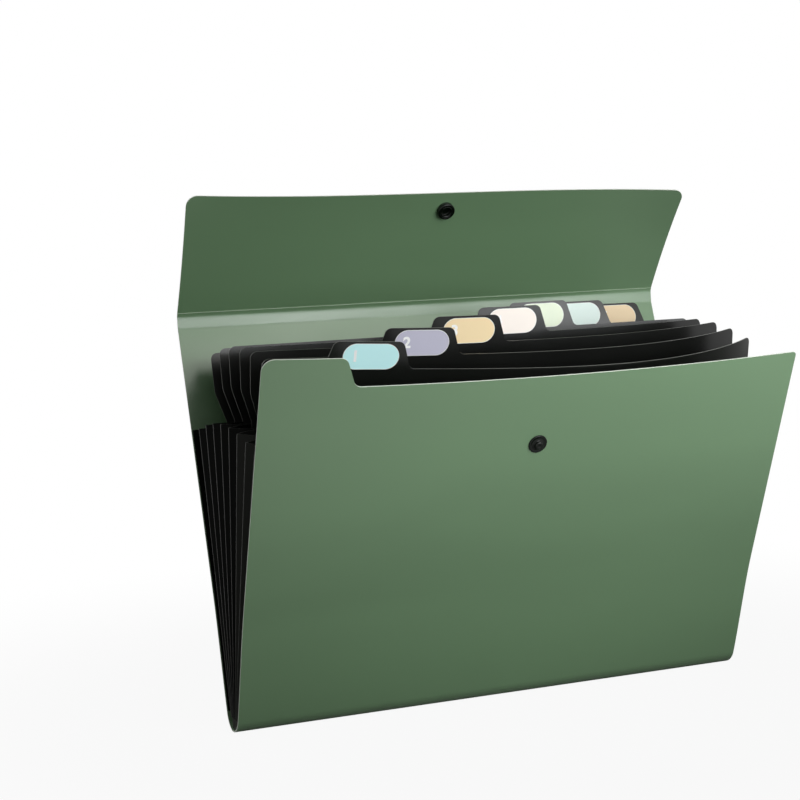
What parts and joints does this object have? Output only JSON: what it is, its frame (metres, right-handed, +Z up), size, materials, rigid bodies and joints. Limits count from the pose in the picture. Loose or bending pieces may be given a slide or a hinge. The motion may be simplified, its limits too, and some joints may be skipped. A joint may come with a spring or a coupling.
{
  "type": "accordion file folder",
  "caption": "Fan-opening plastic file folder with pleated side gussets, tabbed dividers, coloured index labels, and a creased flap with a snap closure.",
  "frame": {"origin": "middle of the underside of the base strip", "axes": "+X along the base strip to the right, +Y to the back cover, +Z up"},
  "size_m": [0.33, 0.178, 0.3089],
  "materials": {
    "cover_sheet": "fine matte grain",
    "divider_sheet": "satin",
    "gusset_film": "satin film",
    "snap_plastic": "moulded gloss",
    "label_1": "printed sticker",
    "label_2": "printed sticker",
    "label_3": "printed sticker",
    "label_4": "printed sticker",
    "label_5": "printed sticker",
    "label_6": "printed sticker",
    "label_7": "printed sticker"
  },
  "bodies": {
    "base": {"cover_base": "cover_sheet"},
    "back_cover": {"back_cover": "cover_sheet"},
    "front_cover": {"front_cover": "cover_sheet", "front_snap_stud": "snap_plastic", "front_snap_cap": "snap_plastic"},
    "spine_strip": {"spine_strip": "cover_sheet"},
    "closure_flap": {"closure_flap": "cover_sheet", "flap_snap_socket": "snap_plastic", "flap_snap_cap": "snap_plastic"},
    "divider_1": {"divider_1": "divider_sheet", "index_label_1": "label_1"},
    "divider_2": {"divider_2": "divider_sheet", "index_label_2": "label_2"},
    "divider_3": {"divider_3": "divider_sheet", "index_label_3": "label_3"},
    "divider_4": {"divider_4": "divider_sheet", "index_label_4": "label_4"},
    "divider_5": {"divider_5": "divider_sheet", "index_label_5": "label_5"},
    "divider_6": {"divider_6": "divider_sheet", "index_label_6": "label_6"},
    "divider_7": {"divider_7": "divider_sheet", "index_label_7": "label_7"},
    "left_pleat_1_front": {"left_pleat_1_front": "gusset_film"},
    "left_pleat_1_rear": {"left_pleat_1_rear": "gusset_film"},
    "right_pleat_1_front": {"right_pleat_1_front": "gusset_film"},
    "right_pleat_1_rear": {"right_pleat_1_rear": "gusset_film"},
    "left_pleat_2_front": {"left_pleat_2_front": "gusset_film"},
    "left_pleat_2_rear": {"left_pleat_2_rear": "gusset_film"},
    "right_pleat_2_front": {"right_pleat_2_front": "gusset_film"},
    "right_pleat_2_rear": {"right_pleat_2_rear": "gusset_film"},
    "left_pleat_3_front": {"left_pleat_3_front": "gusset_film"},
    "left_pleat_3_rear": {"left_pleat_3_rear": "gusset_film"},
    "right_pleat_3_front": {"right_pleat_3_front": "gusset_film"},
    "right_pleat_3_rear": {"right_pleat_3_rear": "gusset_film"},
    "left_pleat_4_front": {"left_pleat_4_front": "gusset_film"},
    "left_pleat_4_rear": {"left_pleat_4_rear": "gusset_film"},
    "right_pleat_4_front": {"right_pleat_4_front": "gusset_film"},
    "right_pleat_4_rear": {"right_pleat_4_rear": "gusset_film"},
    "left_pleat_5_front": {"left_pleat_5_front": "gusset_film"},
    "left_pleat_5_rear": {"left_pleat_5_rear": "gusset_film"},
    "right_pleat_5_front": {"right_pleat_5_front": "gusset_film"},
    "right_pleat_5_rear": {"right_pleat_5_rear": "gusset_film"},
    "left_pleat_6_front": {"left_pleat_6_front": "gusset_film"},
    "left_pleat_6_rear": {"left_pleat_6_rear": "gusset_film"},
    "right_pleat_6_front": {"right_pleat_6_front": "gusset_film"},
    "right_pleat_6_rear": {"right_pleat_6_rear": "gusset_film"},
    "left_pleat_7_front": {"left_pleat_7_front": "gusset_film"},
    "left_pleat_7_rear": {"left_pleat_7_rear": "gusset_film"},
    "right_pleat_7_front": {"right_pleat_7_front": "gusset_film"},
    "right_pleat_7_rear": {"right_pleat_7_rear": "gusset_film"},
    "left_pleat_8_front": {"left_pleat_8_front": "gusset_film"},
    "left_pleat_8_rear": {"left_pleat_8_rear": "gusset_film"},
    "right_pleat_8_front": {"right_pleat_8_front": "gusset_film"},
    "right_pleat_8_rear": {"right_pleat_8_rear": "gusset_film"}
  },
  "joints": [
    {"name": "fan_fold", "type": "hinge", "parent": "base", "child": "back_cover", "pos_m": [0, 0.00465, 0.0012], "axis": [1, 0, 0], "range_deg": [-3, 17.8]},
    {"name": "front_cover_fold", "type": "hinge", "parent": "base", "child": "front_cover", "pos_m": [0, -0.00465, 0.0012], "axis": [1, 0, 0], "range_deg": [-23.2, 3.91]},
    {"name": "divider_1_fold", "type": "hinge", "parent": "base", "child": "divider_1", "pos_m": [0, -0.0033, 0.0012], "axis": [1, 0, 0], "range_deg": [-18.08, 3.05]},
    {"name": "divider_2_fold", "type": "hinge", "parent": "base", "child": "divider_2", "pos_m": [0, -0.0022, 0.0012], "axis": [1, 0, 0], "range_deg": [-12.95, 2.18]},
    {"name": "divider_3_fold", "type": "hinge", "parent": "base", "child": "divider_3", "pos_m": [0, -0.0011, 0.0012], "axis": [1, 0, 0], "range_deg": [-7.83, 1.32]},
    {"name": "divider_4_fold", "type": "hinge", "parent": "base", "child": "divider_4", "pos_m": [0, 0, 0.0012], "axis": [1, 0, 0], "range_deg": [-2.7, 0.46]},
    {"name": "divider_5_fold", "type": "hinge", "parent": "base", "child": "divider_5", "pos_m": [0, 0.0011, 0.0012], "axis": [1, 0, 0], "range_deg": [-0.41, 2.43]},
    {"name": "divider_6_fold", "type": "hinge", "parent": "base", "child": "divider_6", "pos_m": [0, 0.0022, 0.0012], "axis": [1, 0, 0], "range_deg": [-1.27, 7.55]},
    {"name": "divider_7_fold", "type": "hinge", "parent": "base", "child": "divider_7", "pos_m": [0, 0.0033, 0.0012], "axis": [1, 0, 0], "range_deg": [-2.14, 12.68]},
    {"name": "spine_fold", "type": "hinge", "parent": "back_cover", "child": "spine_strip", "pos_m": [0, 0.07887, 0.23238], "axis": [1, 0, 0], "range_deg": [-11.12, 66]},
    {"name": "left_pleat_1_front_fold", "type": "hinge", "parent": "front_cover", "child": "left_pleat_1_front", "pos_m": [-0.16416, -0.00414, 0.00142], "axis": [-0.0985, 0.392, -0.9147], "range_deg": [-26.9, 4.53]},
    {"name": "left_pleat_1_rear_fold", "type": "hinge", "parent": "divider_1", "child": "left_pleat_1_rear", "pos_m": [-0.16416, -0.00359, 0.00111], "axis": [0.0985, -0.3088, 0.946], "range_deg": [-26.9, 4.53]},
    {"name": "right_pleat_1_front_fold", "type": "hinge", "parent": "front_cover", "child": "right_pleat_1_front", "pos_m": [0.16416, -0.00414, 0.00142], "axis": [-0.0985, -0.392, 0.9147], "range_deg": [-26.9, 4.53]},
    {"name": "right_pleat_1_rear_fold", "type": "hinge", "parent": "divider_1", "child": "right_pleat_1_rear", "pos_m": [0.16416, -0.00359, 0.00111], "axis": [0.0985, 0.3088, -0.946], "range_deg": [-26.9, 4.53]},
    {"name": "left_pleat_2_front_fold", "type": "hinge", "parent": "divider_1", "child": "left_pleat_2_front", "pos_m": [-0.16416, -0.00301, 0.00129], "axis": [-0.0985, 0.3088, -0.946], "range_deg": [-26.9, 4.53]},
    {"name": "left_pleat_2_rear_fold", "type": "hinge", "parent": "divider_2", "child": "left_pleat_2_rear", "pos_m": [-0.16416, -0.00249, 0.00113], "axis": [0.0985, -0.223, 0.9698], "range_deg": [-26.9, 4.53]},
    {"name": "right_pleat_2_front_fold", "type": "hinge", "parent": "divider_1", "child": "right_pleat_2_front", "pos_m": [0.16416, -0.00301, 0.00129], "axis": [-0.0985, -0.3088, 0.946], "range_deg": [-26.9, 4.53]},
    {"name": "right_pleat_2_rear_fold", "type": "hinge", "parent": "divider_2", "child": "right_pleat_2_rear", "pos_m": [0.16416, -0.00249, 0.00113], "axis": [0.0985, 0.223, -0.9698], "range_deg": [-26.9, 4.53]},
    {"name": "left_pleat_3_front_fold", "type": "hinge", "parent": "divider_2", "child": "left_pleat_3_front", "pos_m": [-0.16416, -0.00191, 0.00127], "axis": [-0.0985, 0.223, -0.9698], "range_deg": [-26.9, 4.53]},
    {"name": "left_pleat_3_rear_fold", "type": "hinge", "parent": "divider_3", "child": "left_pleat_3_rear", "pos_m": [-0.16416, -0.0014, 0.00116], "axis": [0.0985, -0.1355, 0.9859], "range_deg": [-26.9, 4.53]},
    {"name": "right_pleat_3_front_fold", "type": "hinge", "parent": "divider_2", "child": "right_pleat_3_front", "pos_m": [0.16416, -0.00191, 0.00127], "axis": [-0.0985, -0.223, 0.9698], "range_deg": [-26.9, 4.53]},
    {"name": "right_pleat_3_rear_fold", "type": "hinge", "parent": "divider_3", "child": "right_pleat_3_rear", "pos_m": [0.16416, -0.0014, 0.00116], "axis": [0.0985, 0.1355, -0.9859], "range_deg": [-26.9, 4.53]},
    {"name": "left_pleat_4_front_fold", "type": "hinge", "parent": "divider_3", "child": "left_pleat_4_front", "pos_m": [-0.16416, -0.0008, 0.00124], "axis": [-0.0985, 0.1355, -0.9859], "range_deg": [-26.9, 4.53]},
    {"name": "left_pleat_4_rear_fold", "type": "hinge", "parent": "divider_4", "child": "left_pleat_4_rear", "pos_m": [-0.16416, -0.0003, 0.00119], "axis": [0.0985, -0.0469, 0.994], "range_deg": [-26.9, 4.53]},
    {"name": "right_pleat_4_front_fold", "type": "hinge", "parent": "divider_3", "child": "right_pleat_4_front", "pos_m": [0.16416, -0.0008, 0.00124], "axis": [-0.0985, -0.1355, 0.9859], "range_deg": [-26.9, 4.53]},
    {"name": "right_pleat_4_rear_fold", "type": "hinge", "parent": "divider_4", "child": "right_pleat_4_rear", "pos_m": [0.16416, -0.0003, 0.00119], "axis": [0.0985, 0.0469, -0.994], "range_deg": [-26.9, 4.53]},
    {"name": "left_pleat_5_front_fold", "type": "hinge", "parent": "divider_4", "child": "left_pleat_5_front", "pos_m": [-0.16416, 0.0003, 0.00121], "axis": [-0.0985, 0.0469, -0.994], "range_deg": [-26.9, 4.53]},
    {"name": "left_pleat_5_rear_fold", "type": "hinge", "parent": "divider_5", "child": "left_pleat_5_rear", "pos_m": [-0.16416, 0.0008, 0.00121], "axis": [0.0985, 0.0421, 0.9942], "range_deg": [-26.9, 4.53]},
    {"name": "right_pleat_5_front_fold", "type": "hinge", "parent": "divider_4", "child": "right_pleat_5_front", "pos_m": [0.16416, 0.0003, 0.00121], "axis": [-0.0985, -0.0469, 0.994], "range_deg": [-26.9, 4.53]},
    {"name": "right_pleat_5_rear_fold", "type": "hinge", "parent": "divider_5", "child": "right_pleat_5_rear", "pos_m": [0.16416, 0.0008, 0.00121], "axis": [0.0985, -0.0421, -0.9942], "range_deg": [-26.9, 4.53]},
    {"name": "left_pleat_6_front_fold", "type": "hinge", "parent": "divider_5", "child": "left_pleat_6_front", "pos_m": [-0.16416, 0.0014, 0.00119], "axis": [-0.0985, -0.0421, -0.9942], "range_deg": [-26.9, 4.53]},
    {"name": "left_pleat_6_rear_fold", "type": "hinge", "parent": "divider_6", "child": "left_pleat_6_rear", "pos_m": [-0.16416, 0.0019, 0.00124], "axis": [0.0985, 0.1308, 0.9865], "range_deg": [-26.9, 4.53]},
    {"name": "right_pleat_6_front_fold", "type": "hinge", "parent": "divider_5", "child": "right_pleat_6_front", "pos_m": [0.16416, 0.0014, 0.00119], "axis": [-0.0985, 0.0421, 0.9942], "range_deg": [-26.9, 4.53]},
    {"name": "right_pleat_6_rear_fold", "type": "hinge", "parent": "divider_6", "child": "right_pleat_6_rear", "pos_m": [0.16416, 0.0019, 0.00124], "axis": [0.0985, -0.1308, -0.9865], "range_deg": [-26.9, 4.53]},
    {"name": "left_pleat_7_front_fold", "type": "hinge", "parent": "divider_6", "child": "left_pleat_7_front", "pos_m": [-0.16416, 0.0025, 0.00116], "axis": [-0.0985, -0.1308, -0.9865], "range_deg": [-26.9, 4.53]},
    {"name": "left_pleat_7_rear_fold", "type": "hinge", "parent": "divider_7", "child": "left_pleat_7_rear", "pos_m": [-0.16416, 0.00301, 0.00127], "axis": [0.0985, 0.2184, 0.9709], "range_deg": [-26.9, 4.53]},
    {"name": "right_pleat_7_front_fold", "type": "hinge", "parent": "divider_6", "child": "right_pleat_7_front", "pos_m": [0.16416, 0.0025, 0.00116], "axis": [-0.0985, 0.1308, 0.9865], "range_deg": [-26.9, 4.53]},
    {"name": "right_pleat_7_rear_fold", "type": "hinge", "parent": "divider_7", "child": "right_pleat_7_rear", "pos_m": [0.16416, 0.00301, 0.00127], "axis": [0.0985, -0.2184, -0.9709], "range_deg": [-26.9, 4.53]},
    {"name": "left_pleat_8_front_fold", "type": "hinge", "parent": "divider_7", "child": "left_pleat_8_front", "pos_m": [-0.16416, 0.00359, 0.00113], "axis": [-0.0985, -0.2184, -0.9709], "range_deg": [-26.9, 4.53]},
    {"name": "left_pleat_8_rear_fold", "type": "hinge", "parent": "back_cover", "child": "left_pleat_8_rear", "pos_m": [-0.16416, 0.00413, 0.00137], "axis": [0.0985, 0.3042, 0.9475], "range_deg": [-26.9, 4.53]},
    {"name": "right_pleat_8_front_fold", "type": "hinge", "parent": "divider_7", "child": "right_pleat_8_front", "pos_m": [0.16416, 0.00359, 0.00113], "axis": [-0.0985, 0.2184, 0.9709], "range_deg": [-26.9, 4.53]},
    {"name": "right_pleat_8_rear_fold", "type": "hinge", "parent": "back_cover", "child": "right_pleat_8_rear", "pos_m": [0.16416, 0.00413, 0.00137], "axis": [0.0985, -0.3042, -0.9475], "range_deg": [-26.9, 4.53]},
    {"name": "flap_fold", "type": "hinge", "parent": "spine_strip", "child": "closure_flap", "pos_m": [0, 0.07811, 0.24276], "axis": [1, 0, 0], "range_deg": [-129.2, 59.29]}
  ],
  "couplings": [
    {"joint": "front_cover_fold", "follows": "fan_fold", "ratio": -1.3034},
    {"joint": "divider_1_fold", "follows": "fan_fold", "ratio": -1.0154},
    {"joint": "divider_2_fold", "follows": "fan_fold", "ratio": -0.72753},
    {"joint": "divider_3_fold", "follows": "fan_fold", "ratio": -0.43961},
    {"joint": "divider_4_fold", "follows": "fan_fold", "ratio": -0.15169},
    {"joint": "divider_5_fold", "follows": "fan_fold", "ratio": 0.13624},
    {"joint": "divider_6_fold", "follows": "fan_fold", "ratio": 0.42416},
    {"joint": "divider_7_fold", "follows": "fan_fold", "ratio": 0.71208},
    {"joint": "spine_fold", "follows": "fan_fold", "ratio": 3.7079},
    {"joint": "left_pleat_1_front_fold", "follows": "fan_fold", "ratio": -1.5112},
    {"joint": "left_pleat_1_rear_fold", "follows": "fan_fold", "ratio": -1.5112},
    {"joint": "right_pleat_1_front_fold", "follows": "fan_fold", "ratio": -1.5112},
    {"joint": "right_pleat_1_rear_fold", "follows": "fan_fold", "ratio": -1.5112},
    {"joint": "left_pleat_2_front_fold", "follows": "fan_fold", "ratio": -1.5112},
    {"joint": "left_pleat_2_rear_fold", "follows": "fan_fold", "ratio": -1.5112},
    {"joint": "right_pleat_2_front_fold", "follows": "fan_fold", "ratio": -1.5112},
    {"joint": "right_pleat_2_rear_fold", "follows": "fan_fold", "ratio": -1.5112},
    {"joint": "left_pleat_3_front_fold", "follows": "fan_fold", "ratio": -1.5112},
    {"joint": "left_pleat_3_rear_fold", "follows": "fan_fold", "ratio": -1.5112},
    {"joint": "right_pleat_3_front_fold", "follows": "fan_fold", "ratio": -1.5112},
    {"joint": "right_pleat_3_rear_fold", "follows": "fan_fold", "ratio": -1.5112},
    {"joint": "left_pleat_4_front_fold", "follows": "fan_fold", "ratio": -1.5112},
    {"joint": "left_pleat_4_rear_fold", "follows": "fan_fold", "ratio": -1.5112},
    {"joint": "right_pleat_4_front_fold", "follows": "fan_fold", "ratio": -1.5112},
    {"joint": "right_pleat_4_rear_fold", "follows": "fan_fold", "ratio": -1.5112},
    {"joint": "left_pleat_5_front_fold", "follows": "fan_fold", "ratio": -1.5112},
    {"joint": "left_pleat_5_rear_fold", "follows": "fan_fold", "ratio": -1.5112},
    {"joint": "right_pleat_5_front_fold", "follows": "fan_fold", "ratio": -1.5112},
    {"joint": "right_pleat_5_rear_fold", "follows": "fan_fold", "ratio": -1.5112},
    {"joint": "left_pleat_6_front_fold", "follows": "fan_fold", "ratio": -1.5112},
    {"joint": "left_pleat_6_rear_fold", "follows": "fan_fold", "ratio": -1.5112},
    {"joint": "right_pleat_6_front_fold", "follows": "fan_fold", "ratio": -1.5112},
    {"joint": "right_pleat_6_rear_fold", "follows": "fan_fold", "ratio": -1.5112},
    {"joint": "left_pleat_7_front_fold", "follows": "fan_fold", "ratio": -1.5112},
    {"joint": "left_pleat_7_rear_fold", "follows": "fan_fold", "ratio": -1.5112},
    {"joint": "right_pleat_7_front_fold", "follows": "fan_fold", "ratio": -1.5112},
    {"joint": "right_pleat_7_rear_fold", "follows": "fan_fold", "ratio": -1.5112},
    {"joint": "left_pleat_8_front_fold", "follows": "fan_fold", "ratio": -1.5112},
    {"joint": "left_pleat_8_rear_fold", "follows": "fan_fold", "ratio": -1.5112},
    {"joint": "right_pleat_8_front_fold", "follows": "fan_fold", "ratio": -1.5112},
    {"joint": "right_pleat_8_rear_fold", "follows": "fan_fold", "ratio": -1.5112}
  ]
}
